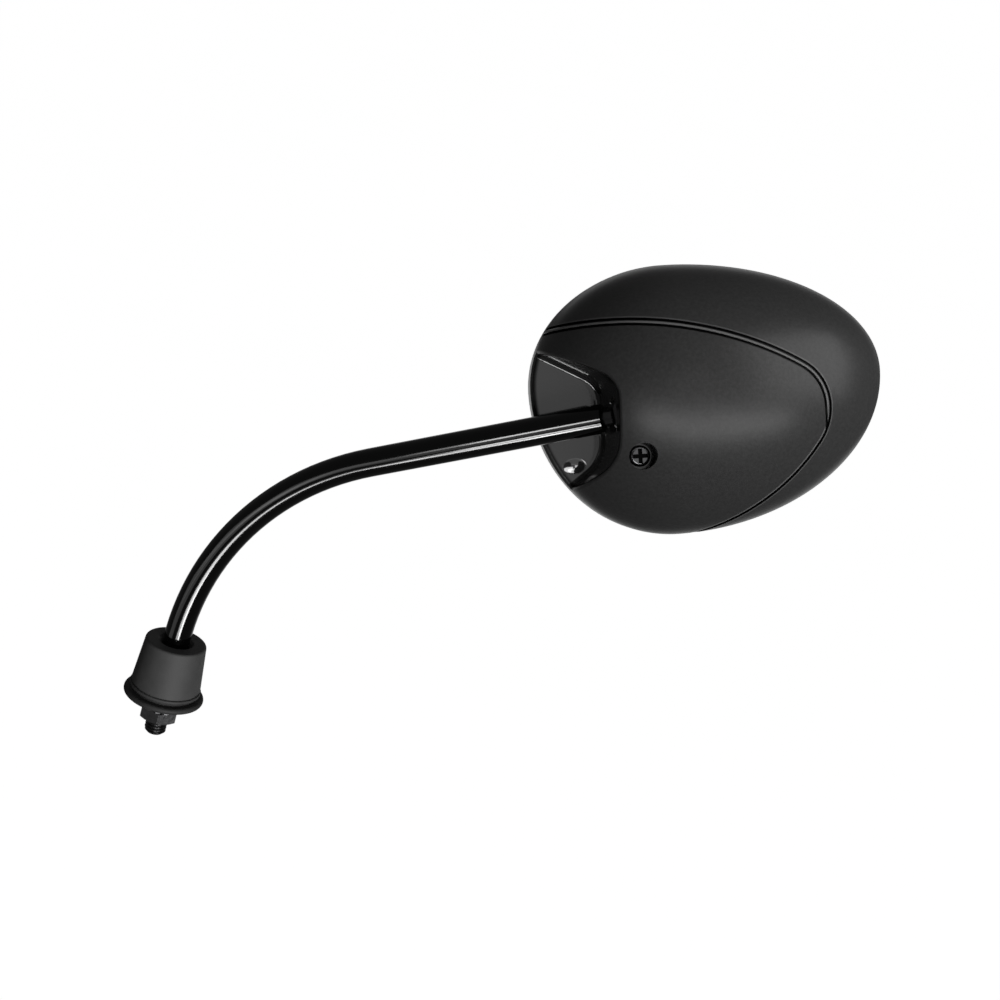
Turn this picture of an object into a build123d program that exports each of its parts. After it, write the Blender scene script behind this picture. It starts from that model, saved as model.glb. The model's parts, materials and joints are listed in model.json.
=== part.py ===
from build123d import *
from math import atan2, cos, degrees, radians, sin, sqrt, tan
import os

# Stem: stud axis is Z, the nut's lower face is Z = 0, the bend lies in the XZ plane
TUBE_R = 5.0
TUBE_WALL = 1.5
TUBE_FOOT = 16.7
BEND_START = 31.8
BEND_R = 104.0
BEND_ANGLE = 60.0
TUBE_REACH = 84.3
TUBE_END_CHAMFER = 0.8
SPIGOT_GAP = 0.02
SPIGOT_LENGTH = 14.0

# Ball stud
BALL_R = 7.0
NECK_R = 3.25
BALL_FROM_TUBE = 9.0

# Threaded stud, drawn plain: crest radius on the free end, pitch radius inside nut and boot
CREST_R = 4.0
PITCH_DEPTH = 0.4
FREE_END = 6.2
TIP_CHAMFER = 1.1

# Lock nut and tooth washer
NUT_FLATS = 13.0
NUT_HEIGHT = 5.0
NUT_FACE_R = 6.2
NUT_CHAMFER_ANGLE = 30.0
NUT_SINK = 0.3
NUT_TURN = -14.0
THREAD_GAP = 0.05
WASHER_GAP = 0.2
WASHER_ROOT_R = 6.0
WASHER_OUT_R = 7.8
WASHER_T = 0.8
WASHER_TEETH = 14
WASHER_TOOTH_W = 1.8
WASHER_TWIST = 14.0

# Rubber boot
BOOT_BOTTOM = 8.9
BOOT_TOP = 31.9
BOOT_GAP = 0.1
FLANGE_R = 14.8
FLANGE_T = 2.3
FLANGE_ROUND = 1.1
NECK_GROOVE_R = 11.9
NECK_GROOVE_T = 1.2
BEAD_R = 13.2
BEAD_T = 1.3
BEAD_ROUND = 0.5
THIN_GROOVE_R = 12.4
THIN_GROOVE_T = 0.6
CONE_FOOT_R = 12.8
CONE_TOP_R = 11.2
BOOT_ROUND = 0.9
FUNNEL_R = 6.6
FUNNEL_DEPTH = 1.2
CAVITY_GAP = 1.1
CAVITY_TOP = 24.2

# Head outline: quarter ellipses about one centre on the parting plane
INBOARD = 48.4
OUTBOARD = 74.2
TOP = 41.0
BOTTOM = 52.3
DOME = 42.0
WALL = 2.2

# Head attitude on the stem, and the ball's place in the head
HEAD_TURN = 12.5
HEAD_LEAN = 18.5
HEAD_ROLL = 19.0
BALL_X = -17.5
BALL_Y = -9.3
BALL_UNDER_DOME = 18.0

# Style line on the shell: three tangent arcs, two thin grooves beside a rib
LINE_TOP_R = 134.0
LINE_CORNER_R = 18.8
LINE_LOW_R = 75.7
LINE_TOP_X = -28.1
LINE_TOP_Y = -111.4
LINE_CORNER_X = 30.5
LINE_START = 104.0
LINE_JOIN = -34.5
LINE_END = -85.0
LINE_WIDTH = 0.9
LINE_DEPTH = 0.9
LINE_STEP = 1.8
INNER_LOW_R = 95.0
INNER_JOIN = 6.0

# Stem pocket in the shell, placed from the ball
POCKET_BACK = 6.9
POCKET_RISE = 10.7
POCKET_DROP = 15.2
POCKET_HIGH_ANGLE = 29.0
POCKET_LOW_ANGLE = 36.5
POCKET_REACH = 14.0
POCKET_FLOOR = 2.0
POCKET_DRAFT_ANGLE = 2.5
POCKET_HIGH_ROUND = 9.0
POCKET_LOW_ROUND = 14.0
POCKET_FLOOR_ROUND = 1.5
POCKET_WALL = 2.0
EDGE_ROUND = 1.2
MOUTH_ANGLE = 38.0
MOUTH_TIP_R = 0.01

# Screw well in the shell, placed from the ball
SCREW_ASIDE = 1.5
SCREW_BELOW = 14.4
WELL_DEPTH = 16.0
WELL_FLOOR_T = 2.0
WELL_GAP = 0.5
WELL_DRAFT_ANGLE = 3.0
WELL_WALL = 1.3

# Front frame
FRAME_DEPTH = 8.6
FRAME_WALL = 2.2
FRAME_EDGE_ROUND = 2.5
LIP_WIDTH = 4.5
LIP_T = 1.6
LIP_CHAMFER = 0.7
PANEL_T = 2.0
SPIGOT_RIB_T = 1.5
SPIGOT_RIB_H = 3.0
SHELL_GAP = 0.35
POST_WALL = 2.2
BOSS_WALL = 2.2
CATCH_INSET = 12.2
CATCH_L = 5.0
CATCH_W = 14.0
CATCH_H = 8.0
TONGUE_Z = 3.6
TONGUE_T = 2.0
TONGUE_W = 9.0
TONGUE_GAP = 0.3

# Glass and pad
GLASS_T = 3.0
GLASS_CURVE = 1200.0
GLASS_GAP = 0.4
GLASS_CROWN = 0.6
PAD_INSET = 3.0

# Ball seats and clamp
SEAT_GAP = 0.05
SEAT_T = 1.2
SEAT_ANGLE = 34.0
CUP_GAP = 0.05
CLAMP_T = 2.0
CLAMP_PLATE_T = 3.0
CLAMP_DROP = 0.8
CLAMP_GAP = 0.4
EAR_OUT = 3.9
EAR_ANGLES = (85.0, -20.0)
EAR_EDGE = 0.2

# Screws
SCREW_R = 1.95
HOLE_GAP = 0.3
HEAD_R = 3.6
HEAD_H = 2.6
HEAD_ROUND = 1.2
CROSS_W = 1.4
CROSS_L = 5.0
CROSS_DEPTH = 1.6
SHELL_SCREW_L = 16.0
CLAMP_SCREW_L = 14.0
PILOT_RUNOUT = 1.5
SPRING_EDGE = 1.5
SPRING_T = 1.0

# How far a joined piece or a cutter reaches past the face it meets
LAP = 1.0

# Sizes that follow from those above
pitch_r = CREST_R - PITCH_DEPTH
nut_corner_r = NUT_FLATS / sqrt(3)
cavity_r = nut_corner_r + CAVITY_GAP
bore_r = TUBE_R - TUBE_WALL
spigot_r = bore_r - SPIGOT_GAP
seat_in = BALL_R + SEAT_GAP
seat_out = seat_in + SEAT_T
cup_r = seat_out + CUP_GAP
clamp_r = cup_r + CLAMP_T
hole_r = SCREW_R + HOLE_GAP
pilot_r = SCREW_R + THREAD_GAP
boss_r = pilot_r + BOSS_WALL
well_r = HEAD_R + WELL_GAP

# Places in the head, drawn flat: X outboard, Y up, Z toward the back of the dome
ball_z = DOME - BALL_UNDER_DOME
ball_local = Vector(BALL_X, BALL_Y, ball_z)
post_top = ball_z - CLAMP_DROP
plate_top = post_top + CLAMP_PLATE_T
well_seat = DOME - WELL_DEPTH
screw_at = (BALL_X + SCREW_ASIDE, BALL_Y - SCREW_BELOW)
ear_reach = clamp_r + EAR_OUT
ear_turns = [radians(a) for a in EAR_ANGLES]
ears = [(BALL_X + ear_reach * cos(a), BALL_Y + ear_reach * sin(a)) for a in ear_turns]

# The stem's end and the head's place on it
bend_end = (BEND_R * (1 - cos(radians(BEND_ANGLE))), BEND_START + BEND_R * sin(radians(BEND_ANGLE)))
reach_dir = Vector(sin(radians(BEND_ANGLE)), 0, cos(radians(BEND_ANGLE)))
tube_top = Vector(bend_end[0], 0, bend_end[1]) + reach_dir * TUBE_REACH
ball_centre = tube_top + reach_dir * BALL_FROM_TUBE
toward_tube = Plane(origin=ball_centre, x_dir=(0, 1, 0), z_dir=-reach_dir).location
head_turn = Rot(0, 0, HEAD_TURN) * Rot(90 - HEAD_LEAN, 0, 0) * Rot(0, 0, HEAD_ROLL)
head = Pos(ball_centre) * head_turn * Pos(-ball_local)


def ring(out_r, in_r, height):
    return extrude(Circle(out_r) - Circle(in_r), height)


def disc(r, at, low, high):
    return Pos(at[0], at[1], low) * extrude(Circle(r), high - low)


def turned(points):
    profile = make_face(Polyline(*points, close=True))
    return revolve(Plane.XZ * profile, Axis.Z)


def rims_at(shape, r):
    return [e for e in shape.edges().filter_by(GeomType.CIRCLE) if abs(e.radius - r) < 0.01]


# Stem


def stem_tube():
    foot = Line((0, TUBE_FOOT), (0, BEND_START))
    bend = CenterArc((BEND_R, BEND_START), BEND_R, 180, -BEND_ANGLE)
    top = Line(bend_end, (tube_top.X, tube_top.Z))
    path = Plane.XZ * Wire([foot, bend, top])
    section = Plane.XY.offset(TUBE_FOOT) * (Circle(TUBE_R) - Circle(bore_r))
    tube = sweep(section, path=path)
    rim = tube.edges().filter_by(GeomType.CIRCLE).sort_by(Axis.X)[-2:].sort_by(SortBy.RADIUS)[-1]
    return chamfer(rim, TUBE_END_CHAMFER)


def ball_stud():
    neck = extrude(Circle(NECK_R), BALL_FROM_TUBE)
    spigot = Pos(0, 0, BALL_FROM_TUBE) * extrude(Circle(spigot_r), SPIGOT_LENGTH)
    return toward_tube * (Sphere(BALL_R) + neck + spigot)


def threaded_stud():
    points = [
        (0, -FREE_END),
        (CREST_R - TIP_CHAMFER, -FREE_END),
        (CREST_R, TIP_CHAMFER - FREE_END),
        (CREST_R, 0),
        (pitch_r, 0),
        (pitch_r, TUBE_FOOT),
        (spigot_r, TUBE_FOOT),
        (spigot_r, TUBE_FOOT + SPIGOT_LENGTH),
        (0, TUBE_FOOT + SPIGOT_LENGTH),
    ]
    return turned(points)


def lock_nut():
    drop = (nut_corner_r - NUT_FACE_R) * tan(radians(NUT_CHAMFER_ANGLE))
    bore = pitch_r + THREAD_GAP
    mouth = CREST_R + NUT_SINK
    sink = mouth - bore
    blank = extrude(RegularPolygon(nut_corner_r, 6), NUT_HEIGHT)
    envelope = [
        (mouth, 0),
        (NUT_FACE_R, 0),
        (nut_corner_r, drop),
        (nut_corner_r, NUT_HEIGHT - drop),
        (NUT_FACE_R, NUT_HEIGHT),
        (mouth, NUT_HEIGHT),
        (bore, NUT_HEIGHT - sink),
        (bore, sink),
    ]
    return Rot(0, 0, NUT_TURN) * (blank & turned(envelope))


def lock_washer():
    in_r = CREST_R + WASHER_GAP
    tooth_foot = (in_r + WASHER_ROOT_R) / 2
    twist = radians(WASHER_TWIST)
    rise = (WASHER_TOOTH_W * sin(twist) + WASHER_T * cos(twist)) / 2
    ends = (Align.MAX, Align.CENTER, Align.CENTER)
    tooth = Rot(WASHER_TWIST, 0, 0) * Box(WASHER_OUT_R - tooth_foot, WASHER_TOOTH_W, WASHER_T, align=ends)
    teeth = [Rot(0, 0, 360 * i / WASHER_TEETH) * Pos(WASHER_OUT_R, 0, 0) * tooth for i in range(WASHER_TEETH)]
    core = Pos(0, 0, -WASHER_T / 2) * ring(WASHER_ROOT_R, in_r, WASHER_T)
    return Pos(0, 0, NUT_HEIGHT + rise) * (core + teeth)


def rubber_boot():
    flange_top = BOOT_BOTTOM + FLANGE_T
    bead_low = flange_top + NECK_GROOVE_T
    bead_top = bead_low + BEAD_T
    cone_low = bead_top + THIN_GROOVE_T
    bore = TUBE_R + BOOT_GAP
    outline = [
        (cavity_r, BOOT_BOTTOM),
        (FLANGE_R, BOOT_BOTTOM),
        (FLANGE_R, flange_top),
        (NECK_GROOVE_R, flange_top),
        (NECK_GROOVE_R, bead_low),
        (BEAD_R, bead_low),
        (BEAD_R, bead_top),
        (THIN_GROOVE_R, bead_top),
        (THIN_GROOVE_R, cone_low),
        (CONE_FOOT_R, cone_low),
        (CONE_TOP_R, BOOT_TOP),
        (FUNNEL_R, BOOT_TOP),
        (bore, BOOT_TOP - FUNNEL_DEPTH),
        (bore, CAVITY_TOP),
        (cavity_r, CAVITY_TOP),
    ]
    boot = turned(outline)
    boot = fillet(rims_at(boot, CONE_TOP_R), BOOT_ROUND)
    boot = fillet(rims_at(boot, FLANGE_R), FLANGE_ROUND)
    return fillet(rims_at(boot, BEAD_R), BEAD_ROUND)


# Head outline and dome


def egg_radii(inset):
    return OUTBOARD - inset, INBOARD - inset, TOP - inset, BOTTOM - inset


def egg(inset):
    right, left, high, low = egg_radii(inset)
    quarters = [(right, high, 0), (left, high, 90), (left, low, 180), (right, low, 270)]
    arcs = [EllipticalCenterArc((0, 0), rx, ry, start, arc_size=90) for rx, ry, start in quarters]
    return make_face(arcs)


def egg_level(point, inset):
    right, left, high, low = egg_radii(inset)
    rx = right if point.X > 0 else left
    ry = high if point.Y > 0 else low
    return (point.X / rx) ** 2 + (point.Y / ry) ** 2


def slab(inset, low, high):
    return Pos(0, 0, low) * extrude(egg(inset), high - low)


def dome(inset):
    right, left, high, low = egg_radii(inset)
    sizes = [(right, high), (left, high), (left, low), (right, low)]
    whole = None
    for i, (rx, ry) in enumerate(sizes):
        eighth = Rot(0, 0, 90 * i) * Sphere(1, 0, 90, 90, align=None)
        quarter = scale(eighth, by=(rx, ry, DOME - inset), about=(0, 0, 0))
        whole = quarter if whole is None else whole + quarter
    return whole


def on_dome(point):
    return abs(egg_level(point, 0) + (point.Z / DOME) ** 2 - 1) < 0.002


# Style line


def arc_about(cx, cy, r, start, end):
    mid = (start + end) / 2
    ends = [(cx + r * cos(radians(a)), cy + r * sin(radians(a))) for a in (start, mid, end)]
    return ThreePointArc(*ends)


def style_region(inset, low_r, join):
    run = LINE_CORNER_X - LINE_TOP_X
    climb = sqrt((LINE_TOP_R - LINE_CORNER_R) ** 2 - run**2)
    corner_y = LINE_TOP_Y + climb
    top_join = degrees(atan2(climb, run))
    low_off = low_r - LINE_CORNER_R
    low_x = LINE_CORNER_X - low_off * cos(radians(join))
    low_y = corner_y - low_off * sin(radians(join))
    top = arc_about(LINE_TOP_X, LINE_TOP_Y, LINE_TOP_R - inset, LINE_START, top_join)
    corner = arc_about(LINE_CORNER_X, corner_y, LINE_CORNER_R - inset, top_join, join)
    low = arc_about(low_x, low_y, low_r - inset, join, LINE_END)
    back = Polyline(low @ 1, (-2 * INBOARD, -2 * BOTTOM), top @ 0)
    return make_face([top, corner, low, back])


def style_grooves():
    outer = style_region(0, LINE_LOW_R, LINE_JOIN)
    outer_band = outer - style_region(LINE_WIDTH, LINE_LOW_R, LINE_JOIN)
    inner = style_region(LINE_STEP, INNER_LOW_R, INNER_JOIN)
    inner_band = inner - style_region(LINE_STEP + LINE_WIDTH, INNER_LOW_R, INNER_JOIN)
    bands = outer_band + (inner_band & outer)
    return extrude(bands, DOME + LAP) - dome(LINE_DEPTH)


# Stem pocket, screw well and tongue


def pocket_outline(grow):
    end_x = BALL_X - POCKET_BACK
    mouth_x = -INBOARD - POCKET_REACH
    run = end_x - mouth_x
    high = BALL_Y + POCKET_RISE
    low = BALL_Y - POCKET_DROP
    mouth_high = high + run * tan(radians(POCKET_HIGH_ANGLE))
    mouth_low = low - run * tan(radians(POCKET_LOW_ANGLE))
    points = [(mouth_x, mouth_high), (end_x, high), (end_x, low), (mouth_x, mouth_low)]
    shape = make_face(Polyline(*points, close=True))
    if grow:
        shape = offset(shape, amount=grow, kind=Kind.INTERSECTION)
    inner = shape.vertices().group_by(Axis.X)[-1].sort_by(Axis.Y)
    shape = fillet(inner[-1], POCKET_HIGH_ROUND + grow)
    inner = shape.vertices().group_by(Axis.X)[-1].sort_by(Axis.Y)
    return fillet(inner[0], POCKET_LOW_ROUND + grow)


def pocket_solid(grow, low):
    return Pos(0, 0, low) * extrude(pocket_outline(grow), DOME + LAP, taper=-POCKET_DRAFT_ANGLE)


def pocket_void():
    void = pocket_solid(0, POCKET_FLOOR)
    floor_edges = void.edges().group_by(Axis.Z)[0].sort_by(Axis.X)[1:]
    return fillet(floor_edges, POCKET_FLOOR_ROUND)


def pocket_rims(shell):
    rims = []
    for edge in shell.edges():
        points = [edge @ (i / 4) for i in range(5)]
        inboard = max(p.X for p in points) < BALL_X - POCKET_BACK + POCKET_WALL
        raised = max(p.Z for p in points) > POCKET_FLOOR / 2
        seam = max(abs(p.Y) for p in points) < 0.01
        if inboard and raised and not seam and all(on_dome(p) for p in points):
            rims.append(edge)
    return rims


def stem_mouth():
    spread = BALL_FROM_TUBE * tan(radians(MOUTH_ANGLE))
    cone = Pos(0, 0, BALL_FROM_TUBE / 2) * Cone(MOUTH_TIP_R, spread, BALL_FROM_TUBE)
    return head.inverse() * toward_tube * cone


def screw_well():
    spread = WELL_DEPTH * tan(radians(WELL_DRAFT_ANGLE))
    hollow = Pos(0, 0, WELL_DEPTH / 2) * Cone(well_r, well_r + spread, WELL_DEPTH)
    hole = disc(hole_r, (0, 0), -WELL_FLOOR_T - LAP, LAP)
    return Pos(screw_at[0], screw_at[1], well_seat) * (hollow + hole)


def tongue(gap):
    root = OUTBOARD - WALL / 2
    reach = CATCH_INSET + CATCH_L / 2 - WALL / 2
    ends = (Align.MAX, Align.CENTER, Align.CENTER)
    return Pos(root, 0, TONGUE_Z) * Box(reach, TONGUE_W + 2 * gap, TONGUE_T + 2 * gap, align=ends)


def rear_shell():
    outside = dome(0)
    shell = outside - dome(WALL)
    pocket = pocket_solid(POCKET_WALL, 0) & outside
    well = disc(well_r + WELL_WALL, screw_at, well_seat - WELL_FLOOR_T, DOME) & outside
    shell = shell + pocket + well - pocket_void()
    shell = fillet(pocket_rims(shell), EDGE_ROUND)
    shell = shell + tongue(0) - screw_well()
    shell = shell - Pos(ball_local) * Sphere(cup_r) - stem_mouth()
    return shell - style_grooves()


# Front frame, glass and pad


def bezel():
    rim = slab(0, -FRAME_DEPTH, 0)
    front = rim.edges().group_by(Axis.Z)[0]
    rim = fillet(front, FRAME_EDGE_ROUND)
    rim = rim - slab(FRAME_WALL, LIP_T - FRAME_DEPTH, -PANEL_T)
    rim = rim - slab(LIP_WIDTH, -FRAME_DEPTH - LAP, -PANEL_T)
    front = rim.edges().group_by(Axis.Z)[0]
    lip = [e for e in front if abs(egg_level(e @ 0.5, LIP_WIDTH) - 1) < 0.001]
    return chamfer(lip, LIP_CHAMFER)


def spigot_rib():
    out = WALL + SHELL_GAP
    return slab(out, -LAP, SPIGOT_RIB_H) - slab(out + SPIGOT_RIB_T, -2 * LAP, SPIGOT_RIB_H)


def catch_block():
    block = Box(CATCH_L, CATCH_W, CATCH_H + LAP, align=(Align.CENTER, Align.CENTER, Align.MIN))
    return Pos(OUTBOARD - CATCH_INSET, 0, -LAP) * block


def front_frame():
    frame = bezel() + spigot_rib() + catch_block() - tongue(TONGUE_GAP)
    frame = frame + disc(cup_r + POST_WALL, (BALL_X, BALL_Y), -LAP, post_top)
    for ear in ears:
        frame = frame + disc(boss_r, ear, -LAP, post_top)
    frame = frame + disc(boss_r, screw_at, -LAP, well_seat - WELL_FLOOR_T)
    frame = frame - Pos(ball_local) * Sphere(cup_r) - stem_mouth()
    frame = frame - pocket_solid(POCKET_WALL + SHELL_GAP, 0)
    for ear in ears:
        frame = frame - disc(pilot_r, ear, plate_top + SPRING_T - CLAMP_SCREW_L - PILOT_RUNOUT, DOME)
    return frame - disc(pilot_r, screw_at, well_seat - SHELL_SCREW_L - PILOT_RUNOUT, DOME)


def lens(back):
    apex = FRAME_DEPTH - LIP_T + GLASS_CROWN - back
    mid_x = (OUTBOARD - INBOARD) / 2
    mid_y = (TOP - BOTTOM) / 2
    return Pos(mid_x, mid_y, GLASS_CURVE - apex) * Sphere(GLASS_CURVE)


def mirror_glass():
    blank = slab(FRAME_WALL + GLASS_GAP, -FRAME_DEPTH, -PANEL_T)
    return (blank & lens(0)) - lens(GLASS_T)


def glass_pad():
    return slab(FRAME_WALL + PAD_INSET, -FRAME_DEPTH, -PANEL_T) & lens(GLASS_T)


# Ball seats and clamp


def seat_cap(turn):
    reach = 2 * seat_out
    cone = Pos(0, 0, reach / 2) * Cone(MOUTH_TIP_R, reach * tan(radians(SEAT_ANGLE)), reach)
    cap = (Sphere(seat_out) - Sphere(seat_in)) & cone
    return Pos(ball_local) * Rot(turn, 0, 0) * cap


def ball_clamp():
    ball = (BALL_X, BALL_Y)
    top = ball_z + clamp_r
    clamp = Pos(ball_local) * Sphere(clamp_r) & disc(clamp_r, ball, post_top, top)
    for ear in ears:
        arm = SlotCenterPoint(ball, ear, 2 * (HEAD_R + EAR_EDGE))
        clamp = clamp + Pos(0, 0, post_top) * extrude(arm, CLAMP_PLATE_T)
    clamp = clamp - Pos(ball_local) * Sphere(cup_r)
    clamp = clamp - disc(well_r + WELL_WALL + CLAMP_GAP, screw_at, 0, DOME)
    clamp = clamp - pocket_solid(POCKET_WALL + CLAMP_GAP, 0)
    for ear in ears:
        clamp = clamp - disc(hole_r, ear, post_top - LAP, top)
    return clamp


# Screws and spring washers


def pan_screw(length):
    blank = extrude(Circle(HEAD_R), HEAD_H)
    blank = fillet(blank.edges().group_by(Axis.Z)[-1], HEAD_ROUND)
    cross = Box(CROSS_L, CROSS_W, CROSS_DEPTH) + Box(CROSS_W, CROSS_L, CROSS_DEPTH)
    shank = Pos(0, 0, -length) * extrude(Circle(SCREW_R), length)
    return blank - Pos(0, 0, HEAD_H - CROSS_DEPTH / 2) * cross + shank


def clamp_screws():
    return [Pos(x, y, plate_top + SPRING_T) * pan_screw(CLAMP_SCREW_L) for x, y in ears]


def clamp_washers():
    return [Pos(x, y, plate_top) * ring(hole_r + SPRING_EDGE, hole_r, SPRING_T) for x, y in ears]


def shell_screw():
    return Pos(screw_at[0], screw_at[1], well_seat) * pan_screw(SHELL_SCREW_L)


def save(name, shape):
    shape.label = name
    export_step(shape, os.path.join("parts", name + ".step"))


def save_group(name, shapes):
    save(name, Compound(children=[Part(s.wrapped) for s in shapes]))


os.makedirs("parts", exist_ok=True)
save("stem_tube", stem_tube())
save("ball_stud", ball_stud())
save("threaded_stud", threaded_stud())
save("lock_nut", lock_nut())
save("lock_washer", lock_washer())
save("rubber_boot", rubber_boot())
save("rear_shell", head * rear_shell())
save("front_frame", head * front_frame())
save("mirror_glass", head * mirror_glass())
save("glass_pad", head * glass_pad())
save("ball_seat_front", head * seat_cap(180))
save("ball_seat_rear", head * seat_cap(0))
save("ball_clamp", head * ball_clamp())
save_group("clamp_screws", [head * s for s in clamp_screws()])
save_group("clamp_washers", [head * s for s in clamp_washers()])
save("shell_screw", head * shell_screw())
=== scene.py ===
import json
from math import cos, pi, radians, sin, tau

import bpy
from mathutils import Matrix, Vector

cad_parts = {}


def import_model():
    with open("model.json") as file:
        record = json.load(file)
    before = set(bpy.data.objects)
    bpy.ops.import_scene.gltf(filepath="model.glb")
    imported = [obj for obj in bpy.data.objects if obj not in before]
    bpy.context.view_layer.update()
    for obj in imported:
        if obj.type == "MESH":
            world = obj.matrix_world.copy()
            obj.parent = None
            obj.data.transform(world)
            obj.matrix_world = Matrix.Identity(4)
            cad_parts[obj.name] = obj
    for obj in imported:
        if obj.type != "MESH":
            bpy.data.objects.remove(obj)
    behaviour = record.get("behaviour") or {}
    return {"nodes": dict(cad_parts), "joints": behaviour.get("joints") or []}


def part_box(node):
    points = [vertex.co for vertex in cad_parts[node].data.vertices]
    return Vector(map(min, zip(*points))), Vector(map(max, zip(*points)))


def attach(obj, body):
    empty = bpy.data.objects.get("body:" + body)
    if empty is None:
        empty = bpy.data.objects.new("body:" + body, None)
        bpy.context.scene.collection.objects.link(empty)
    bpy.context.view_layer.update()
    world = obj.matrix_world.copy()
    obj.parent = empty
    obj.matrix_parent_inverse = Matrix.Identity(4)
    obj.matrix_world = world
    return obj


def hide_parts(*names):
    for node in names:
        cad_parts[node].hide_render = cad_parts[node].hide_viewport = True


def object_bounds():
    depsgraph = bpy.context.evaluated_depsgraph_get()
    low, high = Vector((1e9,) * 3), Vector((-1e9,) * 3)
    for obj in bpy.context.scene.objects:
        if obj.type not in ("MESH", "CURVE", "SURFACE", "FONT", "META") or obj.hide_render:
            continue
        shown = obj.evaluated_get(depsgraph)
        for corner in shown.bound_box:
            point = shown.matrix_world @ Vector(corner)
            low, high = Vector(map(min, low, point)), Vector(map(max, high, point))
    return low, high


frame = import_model()
cad_low, cad_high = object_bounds()
joints = {joint["name"]: joint for joint in frame["joints"]}

# All lengths are in metres

# The head's own axes and the ball's centre, from the joints through the ball
HEAD_X = Vector(joints["head_tilt"]["axis"])
HEAD_Y = Vector(joints["head_yaw"]["axis"])
HEAD_Z = Vector(joints["head_roll"]["axis"])
BALL = Vector(joints["head_yaw"]["pos_m"])

# The ball's place in the head and the dome's half-axes
BALL_IN_HEAD = Vector((-0.0175, -0.0093, 0.0240))
INBOARD = 0.0484
OUTBOARD = 0.0742
TOP = 0.0410
BOTTOM = 0.0523
DOME = 0.0420

# The shell's finish by level, which is 1 on the dome's skin and less inside it: gloss in the pocket and
# the well, near-black painted shade in the grooves, matte on the skin, a painted highlight on the edges and
# the rib
POCKET_LEVELS = (0.90, 0.95)
GROOVE_LEVELS = (0.965, 0.985)
POCKET_GREY = 0.012
GROOVE_SHADE_GREY = 0.002
SKIN_GREYS = (0.016, 0.021)
PAINTED_HIGHLIGHT_GREY = 0.075
POCKET_ROUGHNESS = (0.10, 0.14)
SKIN_ROUGHER = 0.20

# The style line's three arcs in the head: top, corner and low
LINE_TOP = Vector((-0.0281, -0.1114))
LINE_TOP_R = 0.1340
LINE_CORNER_R = 0.0188
CORNER_RUN = 0.0586
LINE_LOW_R = 0.0757
LINE_JOIN = radians(-34.5)

# The outer groove's edges, which carry a painted highlight, the rib between the two grooves, whose crown
# carries it too, and where the rib begins and is full, as heights from the corner's centre
GROOVE_WIDTH = 0.0009
EDGE_HALF = 0.00026
OUTER_EDGE = 0.55
RIB_INSET = 0.00135
RIB_HALF = 0.00045
RIB_RISE = 0.00022
RIB_FADE = (-0.006, 0.004)

# The cover screw, from the ball's centre, and its cross recess, which is darkened with painted shade
SCREW_ASIDE = 0.0015
SCREW_BELOW = 0.0144
RECESS_R = 0.00256
RECESS_DARK_DEPTH = 0.0006
RECESS_RIM_DEPTH = 0.0001
RECESS_SHADE_GREY = 0.003

# The moulded boss on the pocket's floor: its place in the head, its half-sizes and its rise
BOSS_AT = Vector((-0.0350, -0.0262, 0.0020))
BOSS_LONG = 0.0043
BOSS_SHORT = 0.0029
BOSS_RISE = 0.0004
BOSS_ROOT = 0.0003
BOSS_RINGS = 16
BOSS_SIDES = 72

# The glass: the radius of its front and how far that stands out from the head's parting plane
GLASS_CURVE = 1.2
GLASS_DEPTH = 0.0076

# The boot: where its flange, darkened with painted shade, ends and its paler body begins
FLANGE_Z = 0.0110
BODY_Z = 0.0150
FLANGE_SHADE_GREYS = (0.014, 0.020)
BODY_GREYS = (0.032, 0.042)

# The stud's thread: full on the free end, smaller where the nut and the boot cover it
CREST_R = 0.0040
ROOT_R = 0.0033
COVERED_CREST_R = 0.0036
COVERED_ROOT_R = 0.0032
THREAD_PITCH = 0.00125
FLANK_SLOPE = 1.35
ROOT_FLAT = 0.17
TIP_CHAMFER = 0.0011
TUBE_FOOT = 0.0167
SPIGOT_R = 0.00348
THREAD_SIDES = 96
STEPS_PER_TURN = 12

# Edges: the angle from which they stay sharp, and the rounding of the nut's
SHARP_ANGLE = 0.7
NUT_ROUNDING = 0.00030
ROUNDED_ANGLE = 0.6
WELD_DISTANCE = 1e-6

# Metals: node, material, grey level and roughness
METALS = (
    ("ball_stud", "ball_steel", 0.10, 0.22),
    ("lock_nut", "nut_steel", 0.22, 0.30),
    ("lock_washer", "washer_steel", 0.42, 0.30),
    ("ball_clamp", "clamp_metal", 0.50, 0.45),
    ("clamp_screws", "screw_steel", 0.45, 0.28),
    ("clamp_washers", "spring_steel", 0.30, 0.30),
)
STEEL_TINT = 1.02

# Noise: the range that most of its values fall in, and its roughness
NOISE_LOW = 0.3
NOISE_HIGH = 0.7
NOISE_ROUGHNESS = 0.55

# The tube's path: a straight foot, a bend, a straight reach
BEND_START = 0.0318
BEND_R = 0.104
BEND_ANGLE = pi / 3
REACH = 0.0843
TUBE_R = 0.005

# Lines of light in the stem's paint: place along the path (0 to 1 the bend, 1 to 2 the reach),
# place across the tube (-1 the lower edge, 1 the upper) and strength
LOW_LINE = (
    (0.00, -0.10, 30.0), (0.15, -0.16, 30.0), (0.30, -0.17, 24.0), (0.45, -0.17, 16.0), (0.58, -0.22, 3.0),
    (0.75, -0.32, 0.4), (1.15, -0.33, 0.6), (1.38, -0.33, 8.0), (2.00, -0.34, 40.0),
)
HIGH_LINE = ((1.20, 0.0, 1.0), (1.45, 0.0, 10.0), (2.00, -0.03, 36.0))
SOFT_BAND = ((0.00, 0.42, 0.9), (0.30, 0.38, 1.0), (0.50, 0.30, 1.1), (0.70, 0.12, 1.0), (1.10, -0.16, 1.0))
LINE_WIDTH = 0.08
BAND_WIDTH = 0.46
LINE_DISTANCE = 0.5

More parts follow.
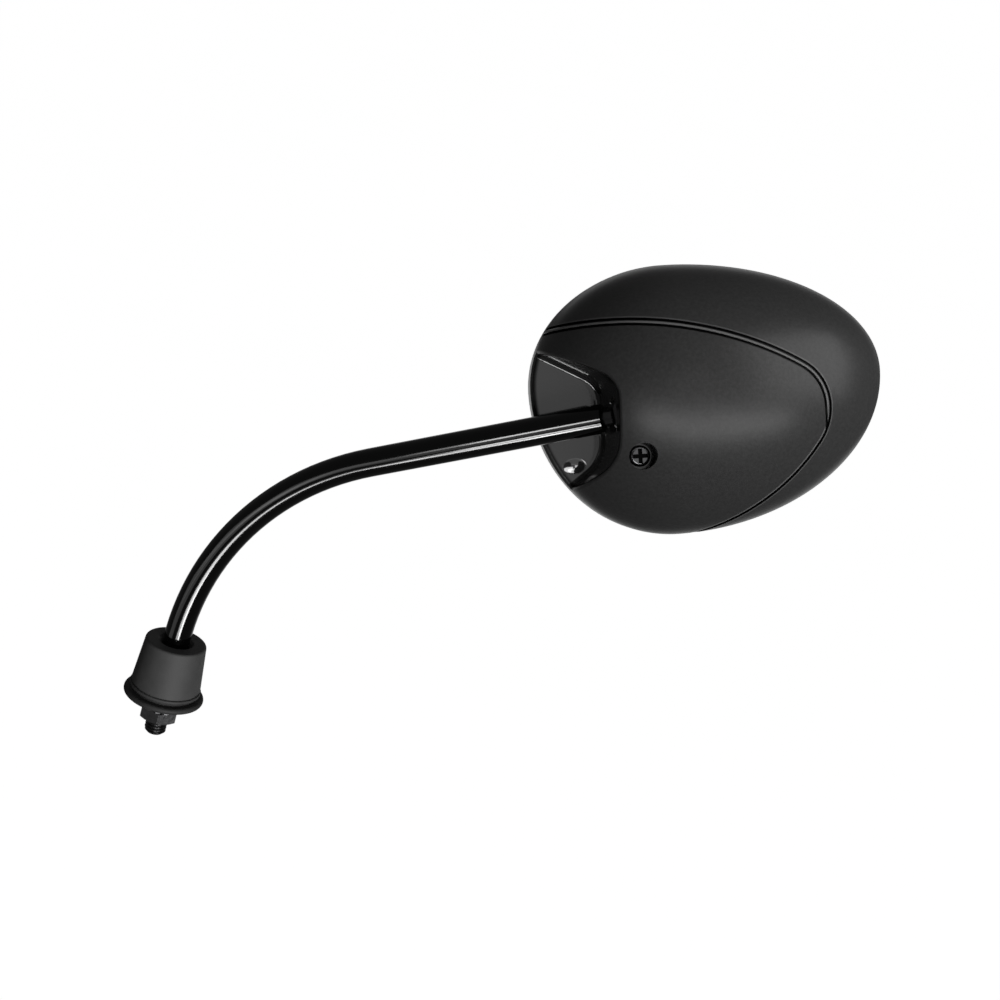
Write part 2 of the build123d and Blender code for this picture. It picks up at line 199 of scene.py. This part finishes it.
# Camera: place, right, up and back directions, lens in millimetres on a 36 mm sensor
CAMERA_AT = Vector((0.1732, -0.6127, 0.3381))
CAMERA_RIGHT = Vector((0.9390, 0.2089, 0.2731))
CAMERA_UP = Vector((-0.3246, 0.2763, 0.9046))
CAMERA_BACK = Vector((0.1135, -0.9381, 0.3272))
LENS = 68.4
SENSOR = 36.0

# Lamps: direction as the camera sees it (right, up, toward), distance, width, height and strength
KEY_LAMP = ((0.25, -0.47, 0.85), 0.80, 1.20, 0.20, 12.0)
SIDE_LAMP = ((0.84, 0.25, 0.45), 0.90, 0.80, 0.80, 5.5)
LOW_LAMP = ((0.40, -0.47, 0.79), 0.60, 0.24, 0.40, 17.0)
FRONT_LAMP = ((0.21, 0.0, 0.98), 0.90, 0.40, 0.34, 0.8)
BOSS_LAMPS = {
    "boss_left": ((-0.05, -0.28, 0.96), 0.60, 0.22, 0.18, 13.0),
    "boss_right": ((0.42, -0.10, 0.90), 0.60, 0.22, 0.18, 9.0),
    "boss_top": ((0.21, 0.26, 0.94), 0.60, 0.22, 0.18, 1.0),
}
FOOT = Vector((0.0, 0.0, 0.02))

# Backdrop: the fill that lights the part, and the cosine where the white behind the part begins
FILL = 0.10
WHITE_BEGINS = 0.75

# Floor: its drop below the part, and the disc behind the part that glows white
FLOOR_DROP = 0.30
FLOOR_SIZE = 30.0
FLOOR_GREYS = (0.78, 0.80)
GLOW_Y = 1.36
GLOW_FULL_R = 0.5
GLOW_END_R = 1.1
GLOW = 0.92


# Node helpers


def new_material(name):
    mat = bpy.data.materials.new(name)
    mat.use_nodes = True
    tree = mat.node_tree
    return mat, tree, tree.nodes["Principled BSDF"]


def plug(tree, node, inputs):
    """Sets a node's inputs, each from a socket or from a plain value."""
    for key, value in inputs.items():
        if isinstance(value, bpy.types.NodeSocket):
            tree.links.new(value, node.inputs[key])
        else:
            node.inputs[key].default_value = value


def add(tree, kind, inputs=None, **settings):
    made = tree.nodes.new(kind)
    for key, value in settings.items():
        setattr(made, key, value)
    plug(tree, made, inputs or {})
    return made


def calc(tree, operation, a, b=0.0, c=0.0):
    return add(tree, "ShaderNodeMath", {0: a, 1: b, 2: c}, operation=operation).outputs[0]


def dot(tree, vector, axis):
    return add(tree, "ShaderNodeVectorMath", {0: vector, 1: axis}, operation="DOT_PRODUCT").outputs["Value"]


def place(tree):
    return add(tree, "ShaderNodeTexCoord").outputs["Object"]


def place_from(tree, origin):
    return add(tree, "ShaderNodeVectorMath", {0: place(tree), 1: origin}, operation="SUBTRACT").outputs[0]


def length(tree, x, y):
    return calc(tree, "SQRT", calc(tree, "MULTIPLY_ADD", x, x, calc(tree, "MULTIPLY", y, y)))


def noise(tree, scale, detail=3.0):
    inputs = {"Vector": place(tree), "Scale": scale, "Detail": detail, "Roughness": NOISE_ROUGHNESS}
    return add(tree, "ShaderNodeTexNoise", inputs).outputs["Fac"]


def spread(tree, value, low, high):
    inputs = {"Value": value, "From Min": NOISE_LOW, "From Max": NOISE_HIGH, "To Min": low, "To Max": high}
    return add(tree, "ShaderNodeMapRange", inputs).outputs[0]


def ramp(tree, value, low, high):
    inputs = {"Value": value, "From Min": low, "From Max": high}
    return add(tree, "ShaderNodeMapRange", inputs, interpolation_type="SMOOTHSTEP").outputs[0]


def band(tree, value, middle, half):
    """1 at the middle of a band, 0 at its edges and beyond."""
    across = calc(tree, "DIVIDE", calc(tree, "SUBTRACT", value, middle), half)
    return calc(tree, "MAXIMUM", calc(tree, "SUBTRACT", 1.0, calc(tree, "MULTIPLY", across, across)), 0.0)


def pick(tree, choice, yes, no):
    return calc(tree, "MULTIPLY_ADD", choice, calc(tree, "SUBTRACT", yes, no), no)


def blend(tree, share, first, second):
    """A colour between two others, each a socket or a triple."""
    colours = [c if isinstance(c, bpy.types.NodeSocket) else (*c, 1.0) for c in (first, second)]
    return add(tree, "ShaderNodeMix", {0: share, 6: colours[0], 7: colours[1]}, data_type="RGBA").outputs[2]


def shade(tree, value, dark, light):
    return blend(tree, spread(tree, value, 0.0, 1.0), dark, light)


def bump(tree, height, strength, distance, under=None):
    inputs = {"Height": height, "Strength": strength, "Distance": distance}
    if under:
        inputs["Normal"] = under
    return add(tree, "ShaderNodeBump", inputs).outputs[0]


def grey(level, tint=1.0):
    return level, level, level * tint


# Places in the head


def in_head(point):
    """The place of a point that is given along the head's own axes."""
    x, y, z = point - BALL_IN_HEAD
    return BALL + HEAD_X * x + HEAD_Y * y + HEAD_Z * z


def head_place(tree):
    """The shaded point's place along the head's own axes."""
    from_ball = place_from(tree, BALL)
    axes = zip((HEAD_X, HEAD_Y, HEAD_Z), BALL_IN_HEAD)
    return [calc(tree, "ADD", dot(tree, from_ball, axis), offset) for axis, offset in axes]


def dome_level(tree):
    """How far out a point lies: 1 on the dome's skin, less inside the pocket and the well."""
    total = 0.0
    for along, (minus, plus) in zip(head_place(tree), ((INBOARD, OUTBOARD), (BOTTOM, TOP), (DOME, DOME))):
        side = calc(tree, "GREATER_THAN", along, 0.0)
        radius = calc(tree, "MULTIPLY_ADD", side, plus - minus, minus)
        share = calc(tree, "DIVIDE", along, radius)
        total = calc(tree, "MULTIPLY_ADD", share, share, total)
    return total


def style_line(tree):
    """The rounded rib between the two style grooves, and the edges of the outer groove: masks for the rib's
    bump and for a painted highlight.
    """
    x, y = head_place(tree)[:2]
    climb = ((LINE_TOP_R - LINE_CORNER_R) ** 2 - CORNER_RUN ** 2) ** 0.5
    corner = LINE_TOP + Vector((CORNER_RUN, climb))
    join = (corner - LINE_TOP).normalized()
    turn = Vector((cos(LINE_JOIN), sin(LINE_JOIN)))
    low = corner + turn * (LINE_CORNER_R - LINE_LOW_R)
    insets = []
    for centre, radius in ((LINE_TOP, LINE_TOP_R), (corner, LINE_CORNER_R), (low, LINE_LOW_R)):
        away = [calc(tree, "SUBTRACT", value, at) for value, at in zip((x, y), centre)]
        insets.append(calc(tree, "SUBTRACT", radius, length(tree, *away)))
    aside = calc(tree, "SUBTRACT", x, corner.x)
    above = calc(tree, "SUBTRACT", y, corner.y)
    past_join, past_turn = [
        calc(tree, "SUBTRACT", calc(tree, "MULTIPLY", above, way.x), calc(tree, "MULTIPLY", aside, way.y))
        for way in (join, turn)
    ]
    upper = calc(tree, "GREATER_THAN", above, 0.0)
    on_top = calc(tree, "MULTIPLY", calc(tree, "GREATER_THAN", past_join, 0.0), upper)
    on_low = calc(tree, "LESS_THAN", past_turn, 0.0)
    inset = pick(tree, on_top, insets[0], pick(tree, on_low, insets[2], insets[1]))
    two_grooves = ramp(tree, above, *RIB_FADE)
    rib = calc(tree, "MULTIPLY", band(tree, inset, RIB_INSET, RIB_HALF), two_grooves)
    outer = calc(tree, "MULTIPLY", band(tree, inset, -EDGE_HALF, EDGE_HALF), OUTER_EDGE)
    one_groove = calc(tree, "SUBTRACT", 1.0, two_grooves)
    inner = calc(tree, "MULTIPLY", band(tree, inset, GROOVE_WIDTH + EDGE_HALF, EDGE_HALF), one_groove)
    return rib, calc(tree, "MAXIMUM", outer, inner)


# Materials


def shell_material():
    """Grained matte plastic on the dome, glossy in the pocket and the well, painted shade in the grooves, a
    painted highlight on the rib and the groove edges.
    """
    mat, tree, shader = new_material("shell_plastic")
    level = dome_level(tree)
    skin = ramp(tree, level, *POCKET_LEVELS)
    rib, edges = style_line(tree)
    matte = shade(tree, noise(tree, scale=900.0, detail=2.0), *map(grey, SKIN_GREYS))
    # Painted highlight: the rib's crown and the outer groove's edges are lightened towards a pale grey
    highlit = blend(tree, calc(tree, "MAXIMUM", rib, edges), matte, grey(PAINTED_HIGHLIGHT_GREY))
    # Painted shade: the grooves' walls and floors are darkened to near black
    groove_shaded = blend(tree, ramp(tree, level, *GROOVE_LEVELS), grey(GROOVE_SHADE_GREY), highlit)
    pocket_rough = spread(tree, noise(tree, scale=60.0), *POCKET_ROUGHNESS)
    grain = calc(tree, "MULTIPLY", noise(tree, scale=1500.0, detail=2.0), skin)
    rounded = bump(tree, rib, strength=1.0, distance=RIB_RISE)
    plug(tree, shader, {
        "Base Color": blend(tree, skin, grey(POCKET_GREY), groove_shaded),
        "Roughness": calc(tree, "MULTIPLY_ADD", skin, SKIN_ROUGHER, pocket_rough),
        "Normal": bump(tree, grain, strength=0.32, distance=0.00008, under=rounded),
        "Specular IOR Level": 0.12,
        "Coat Weight": calc(tree, "SUBTRACT", 1.0, skin),
        "Coat Roughness": 0.06,
        "Coat IOR": 1.5,
    })
    return mat


def gloss_black(name, level, rough, shine):
    mat, tree, shader = new_material(name)
    peel = noise(tree, scale=420.0, detail=1.0)
    dust = noise(tree, scale=5200.0, detail=4.0)
    plug(tree, shader, {
        "Base Color": shade(tree, peel, grey(level), grey(level * 1.25)),
        "Roughness": spread(tree, dust, rough * 0.85, rough * 1.15),
        "Normal": bump(tree, peel, strength=0.06, distance=0.00010),
        "Specular IOR Level": shine,
    })
    return mat


def rubber_material():
    mat, tree, shader = new_material("boot_rubber")
    cloud = noise(tree, scale=140.0)
    height = add(tree, "ShaderNodeSeparateXYZ", {0: place(tree)}).outputs["Z"]
    # Painted shade: the flange below FLANGE_Z is given a darker grey than the body
    flange = shade(tree, cloud, *map(grey, FLANGE_SHADE_GREYS))
    body = shade(tree, cloud, *map(grey, BODY_GREYS))
    plug(tree, shader, {
        "Base Color": blend(tree, ramp(tree, height, FLANGE_Z, BODY_Z), flange, body),
        "Roughness": spread(tree, cloud, 0.60, 0.72),
        "Normal": bump(tree, noise(tree, scale=3800.0), strength=0.30, distance=0.00008),
        "Specular IOR Level": 0.25,
    })
    return mat


def steel(name, level, rough):
    """A clouded metal: its material, tree, shader and colour."""
    mat, tree, shader = new_material(name)
    grain = noise(tree, scale=900.0, detail=4.0)
    dark, light = grey(level * 0.85, STEEL_TINT), grey(level * 1.1, STEEL_TINT)
    colour = shade(tree, noise(tree, scale=220.0), dark, light)
    plug(tree, shader, {
        "Base Color": colour,
        "Roughness": spread(tree, grain, rough * 0.8, rough * 1.2),
        "Normal": bump(tree, grain, strength=0.12, distance=0.00005),
        "Metallic": 1.0,
    })
    return mat, tree, shader, colour


def cover_screw_material():
    """Dark steel, with near-black painted shade inside the cross recess."""
    mat, tree, shader, bare = steel("cover_screw_steel", level=0.10, rough=0.20)
    top = max(vertex.co.dot(HEAD_Z) for vertex in frame["nodes"]["shell_screw"].data.vertices)
    from_centre = place_from(tree, BALL + HEAD_X * SCREW_ASIDE - HEAD_Y * SCREW_BELOW)
    out = length(tree, dot(tree, from_centre, HEAD_X), dot(tree, from_centre, HEAD_Y))
    height = dot(tree, place(tree), HEAD_Z)
    raised = ramp(tree, height, top - RECESS_DARK_DEPTH, top - RECESS_RIM_DEPTH)
    inside = calc(tree, "LESS_THAN", out, RECESS_R)
    recess = calc(tree, "MULTIPLY", calc(tree, "SUBTRACT", 1.0, raised), inside)
    # Painted shade: the cross recess below the head's top is darkened to near black
    plug(tree, shader, {"Base Color": blend(tree, recess, bare, grey(RECESS_SHADE_GREY))})
    return mat


def acetal_material():
    mat, tree, shader = new_material("seat_plastic")
    cloud = noise(tree, scale=300.0)
    plug(tree, shader, {
        "Base Color": shade(tree, cloud, (0.66, 0.64, 0.58), (0.74, 0.72, 0.67)),
        "Roughness": spread(tree, cloud, 0.32, 0.42),
        "Normal": bump(tree, noise(tree, scale=2500.0), strength=0.10, distance=0.00004),
    })
    return mat


def foam_material():
    mat, tree, shader = new_material("foam")
    cells = add(tree, "ShaderNodeTexVoronoi", {"Vector": place(tree), "Scale": 1800.0}).outputs["Distance"]
    plug(tree, shader, {
        "Base Color": shade(tree, noise(tree, scale=500.0), grey(0.022), grey(0.034)),
        "Roughness": spread(tree, cells, 0.85, 0.95),
        "Normal": bump(tree, cells, strength=0.5, distance=0.00020),
    })
    return mat


def mirror_material():
    """Silvered glass, shaded as the sphere that its front is cut from."""
    mat, tree, shader = new_material("glass")
    middle = Vector(((OUTBOARD - INBOARD) / 2, (TOP - BOTTOM) / 2, GLASS_CURVE - GLASS_DEPTH))
    outward = place_from(tree, in_head(middle))
    spaces = {"vector_type": "NORMAL", "convert_from": "OBJECT", "convert_to": "WORLD"}
    haze = noise(tree, scale=90.0)
    plug(tree, shader, {
        "Base Color": shade(tree, haze, (0.80, 0.82, 0.83), (0.84, 0.86, 0.87)),
        "Roughness": spread(tree, haze, 0.015, 0.03),
        "Normal": add(tree, "ShaderNodeVectorTransform", {0: outward}, **spaces).outputs[0],
        "Metallic": 1.0,
    })
    return mat


# The stud with its rolled thread and the boss in the stem pocket


def ring_faces(levels, sides):
    """Faces of a closed body: a point below, rings one above the other, a point on top."""
    top = 1 + levels * sides
    last = top - sides
    faces = []
    for k in range(sides):
        after = (k + 1) % sides
        faces.append((0, 1 + after, 1 + k))
        for low in range(1, last, sides):
            high = low + sides
            faces.append((low + k, low + after, high + after, high + k))
        faces.append((last + k, last + after, top))
    return faces


def mesh_piece(name, verts, faces):
    mesh = bpy.data.meshes.new(name)
    mesh.from_pydata(verts, [], faces)
    mesh.shade_smooth()
    mesh.set_sharp_from_angle(angle=SHARP_ANGLE)
    piece = bpy.data.objects.new(name, mesh)
    bpy.context.scene.collection.objects.link(piece)
    return piece


def thread_radius(z, turn, tip):
    crest, root = (CREST_R, ROOT_R) if z < 0 else (COVERED_CREST_R, COVERED_ROOT_R)
    wave = (z / THREAD_PITCH - turn) % 1.0
    flank = min(1.0, max(0.0, abs(2 * wave - 1) * FLANK_SLOPE - ROOT_FLAT))
    return min(root + (crest - root) * flank, CREST_R - TIP_CHAMFER + (z - tip))


def threaded_stud():
    low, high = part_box("threaded_stud")
    threaded = TUBE_FOOT - low.z
    rows = round(threaded / THREAD_PITCH * STEPS_PER_TURN)
    turns = [k / THREAD_SIDES for k in range(THREAD_SIDES)]
    heights = [low.z + threaded * i / rows for i in range(rows + 1)]
    rings = [(z, [thread_radius(z, turn, low.z) for turn in turns]) for z in heights]
    rings += [(z, [SPIGOT_R] * THREAD_SIDES) for z in (TUBE_FOOT, high.z)]
    verts = [(0.0, 0.0, low.z)]
    for z, radii in rings:
        for radius, turn in zip(radii, turns):
            verts.append((radius * cos(tau * turn), radius * sin(tau * turn), z))
    verts.append((0.0, 0.0, high.z))
    rod = mesh_piece("threaded_rod", verts, ring_faces(len(rings), THREAD_SIDES))
    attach(rod, "stem")
    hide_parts("threaded_stud")
    return rod


def pocket_boss():
    """A low rounded swell that runs out into the pocket's floor, closed below inside the floor."""
    foot = in_head(BOSS_AT)
    shares = [i / BOSS_RINGS for i in range(BOSS_RINGS, 0, -1)]
    rings = [(1.0, -BOSS_ROOT)] + [(share, BOSS_RISE * (1 - share * share) ** 2) for share in shares]
    verts = [foot - HEAD_Z * BOSS_ROOT]
    for share, rise in rings:
        for k in range(BOSS_SIDES):
            angle = tau * k / BOSS_SIDES
            along = HEAD_X * BOSS_LONG * cos(angle) + HEAD_Y * BOSS_SHORT * sin(angle)
            verts.append(foot + along * share + HEAD_Z * rise)
    verts.append(foot + HEAD_Z * BOSS_RISE)
    boss = mesh_piece("pocket_boss", verts, ring_faces(len(rings), BOSS_SIDES))
    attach(boss, "head")
    return boss


# Dressing the nodes


def soften(name, width):
    """Welds a node's split corners and rounds its sharp edges slightly, inside its own outline."""
    node = frame["nodes"][name]
    weld = node.modifiers.new("weld", "WELD")
    weld.merge_threshold = WELD_DISTANCE
    bevel = node.modifiers.new("bevel", "BEVEL")
    bevel.width = width
    bevel.segments = 2
    bevel.limit_method = "ANGLE"
    bevel.angle_limit = ROUNDED_ANGLE
    bevel.harden_normals = True


def dress(mat, *names):
    for name in names:
        node = frame["nodes"][name]
        node.data.materials.clear()
        node.data.materials.append(mat)


def dress_all():
    for node, name, level, rough in METALS:
        dress(steel(name, level, rough)[0], node)
    shell = shell_material()
    dress(shell, "rear_shell")
    dress(gloss_black("stem_paint", level=0.004, rough=0.10, shine=0.35), "stem_tube")
    dress(gloss_black("frame_plastic", level=0.008, rough=0.28, shine=0.08), "front_frame")
    dress(rubber_material(), "rubber_boot")
    dress(mirror_material(), "mirror_glass")
    dress(foam_material(), "glass_pad")
    dress(acetal_material(), "ball_seat_front", "ball_seat_rear")
    dress(cover_screw_material(), "shell_screw")
    soften("lock_nut", NUT_ROUNDING)
    rod = threaded_stud()
    rod.data.materials.append(steel("stud_steel", level=0.07, rough=0.38)[0])
    boss = pocket_boss()
    boss.data.materials.append(shell)
    return rod, boss


# Studio


def aim(obj, at, right, up):
    back = right.cross(up)
    obj.matrix_world = Matrix.Translation(at) @ Matrix((right, up, back)).transposed().to_4x4()


def camera():
    data = bpy.data.cameras.new("camera")
    data.lens = LENS
    data.sensor_width = SENSOR
    data.clip_start = 0.01
    data.clip_end = 100.0
    cam = bpy.data.objects.new("camera", data)
    bpy.context.scene.collection.objects.link(cam)
    aim(cam, CAMERA_AT, CAMERA_RIGHT.normalized(), CAMERA_UP.normalized())
    bpy.context.scene.camera = cam


def lamp_panel(name, width, height, radiance, receivers=None, gloss_only=False):
    """A rectangular lamp, for all nodes or only for those in a collection."""
    data = bpy.data.lights.new(name, "AREA")
    data.shape = "RECTANGLE"
    data.size = width
    data.size_y = height
    data.energy = radiance * pi * width * height
    lamp = bpy.data.objects.new(name, data)
    bpy.context.scene.collection.objects.link(lamp)
    lamp.visible_camera = False
    lamp.visible_diffuse = not gloss_only
    if receivers is not None:
        lamp.light_linking.receiver_collection = receivers
    return lamp


def panel(name, target, way, distance, width, height, radiance, receivers=None, gloss_only=False):
    """A lamp that faces its target from a direction given as the camera sees it."""
    lamp = lamp_panel(name, width, height, radiance, receivers, gloss_only)
    right, up, toward = way
    direction = (CAMERA_RIGHT * right + CAMERA_UP * up + CAMERA_BACK * toward).normalized()
    across = CAMERA_UP.cross(direction).normalized()
    aim(lamp, target + direction * distance, across, direction.cross(across))


def tube_point(along):
    """A point on the tube's axis and the way the tube runs there."""
    angle = BEND_ANGLE * min(along, 1.0)
    way = Vector((sin(angle), 0.0, cos(angle)))
    bend = Vector((BEND_R * (1 - cos(angle)), 0.0, BEND_START + BEND_R * sin(angle)))
    return bend + way * REACH * max(along - 1.0, 0.0), way


def mirrored(along, across):
    """Where a light has to stand for the camera to see it in the tube at this place."""
    axis, way = tube_point(along)
    view = (CAMERA_AT - axis).normalized()
    front = (view - way * view.dot(way)).normalized()
    side = way.cross(front)
    side = side if side.dot(CAMERA_UP) > 0 else -side
    normal = front * (1 - across * across) ** 0.5 + side * across
    return axis + normal * TUBE_R + (normal * 2 * normal.dot(view) - view) * LINE_DISTANCE


def gloss_line(name, points, width, receivers):
    """A chain of panels that shows as one line of light along the tube and lights nothing else."""
    for i, (start, end) in enumerate(zip(points, points[1:])):
        along, across, radiance = [(first + second) / 2 for first, second in zip(start, end)]
        middle = mirrored(along, across)
        run = mirrored(end[0], across) - mirrored(start[0], across)
        rise = mirrored(along, across + width / 2) - mirrored(along, across - width / 2)
        right = run.normalized()
        up = (rise - right * rise.dot(right)).normalized()
        if right.cross(up).dot(middle - tube_point(along)[0]) < 0:
            right = -right
        lamp = lamp_panel(f"{name}_{i}", run.length, rise.length, radiance, receivers, gloss_only=True)
        aim(lamp, middle, right, up)


def lit(collection, names, *added):
    """The collection of these nodes and added pieces, for lamps that are to light nothing else."""
    made = bpy.data.collections.new(collection)
    for piece in (*added, *[frame["nodes"][name] for name in names]):
        made.objects.link(piece)
    return made


def lights(rod, boss):
    stem = lit("stem_only", ["stem_tube"])
    cover = lit("head_cover", ["rear_shell", "front_frame", "shell_screw"], boss)
    foot = lit("foot", ["rubber_boot", "lock_washer", "lock_nut", "threaded_stud"], rod)
    boss_only = lit("boss_only", [], boss)
    shell_low, shell_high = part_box("rear_shell")
    head = (shell_low + shell_high) / 2
    panel("key", head, *KEY_LAMP, cover)
    panel("side", head, *SIDE_LAMP, cover)
    panel("low", FOOT, *LOW_LAMP, foot)
    panel("front", head, *FRONT_LAMP)
    for name, lamp in BOSS_LAMPS.items():
        panel(name, in_head(BOSS_AT) + HEAD_Z * BOSS_RISE, *lamp, boss_only, gloss_only=True)
    gloss_line("low_line", LOW_LINE, LINE_WIDTH, stem)
    gloss_line("high_line", HIGH_LINE, LINE_WIDTH, stem)
    gloss_line("soft_band", SOFT_BAND, BAND_WIDTH, stem)


def background_rays(tree, behind):
    """1 for rays that see the backdrop as it is: from the camera, and mirrored or through glass behind."""
    path = add(tree, "ShaderNodeLightPath").outputs
    either = calc(tree, "MAXIMUM", path["Is Glossy Ray"], path["Is Transmission Ray"])
    return calc(tree, "MAXIMUM", path["Is Camera Ray"], calc(tree, "MULTIPLY", either, behind))


def world():
    made = bpy.data.worlds.new("studio")
    made.use_nodes = True
    bpy.context.scene.world = made
    tree = made.node_tree
    toward = add(tree, "ShaderNodeTexCoord").outputs["Generated"]
    white = background_rays(tree, ramp(tree, dot(tree, toward, -CAMERA_BACK), WHITE_BEGINS, 1.0))
    plug(tree, tree.nodes["Background"], {
        "Color": (1.0, 1.0, 1.0, 1.0),
        "Strength": calc(tree, "MULTIPLY_ADD", white, 1.0 - FILL, FILL),
    })


def floor():
    half = FLOOR_SIZE / 2
    level = cad_low.z - FLOOR_DROP
    corners = [(-half, -half, level), (half, -half, level), (half, half, level), (-half, half, level)]
    mesh = bpy.data.meshes.new("floor")
    mesh.from_pydata(corners, [], [(0, 1, 2, 3)])
    plane = bpy.data.objects.new("floor", mesh)
    bpy.context.scene.collection.objects.link(plane)
    mat, tree, shader = new_material("floor_white")
    spot = {0: place(tree), 1: (0.0, GLOW_Y, level)}
    away = add(tree, "ShaderNodeVectorMath", spot, operation="DISTANCE").outputs["Value"]
    behind = calc(tree, "SUBTRACT", 1.0, ramp(tree, away, GLOW_FULL_R, GLOW_END_R))
    plug(tree, shader, {
        "Base Color": shade(tree, noise(tree, scale=3.0), *map(grey, FLOOR_GREYS)),
        "Roughness": 0.9,
        "Specular IOR Level": 0.0,
        "Emission Color": (1.0, 1.0, 1.0, 1.0),
        "Emission Strength": calc(tree, "MULTIPLY", background_rays(tree, behind), GLOW),
    })
    mesh.materials.append(mat)


rod, boss = dress_all()
camera()
world()
floor()
lights(rod, boss)
bpy.context.scene.view_settings.view_transform = "Standard"
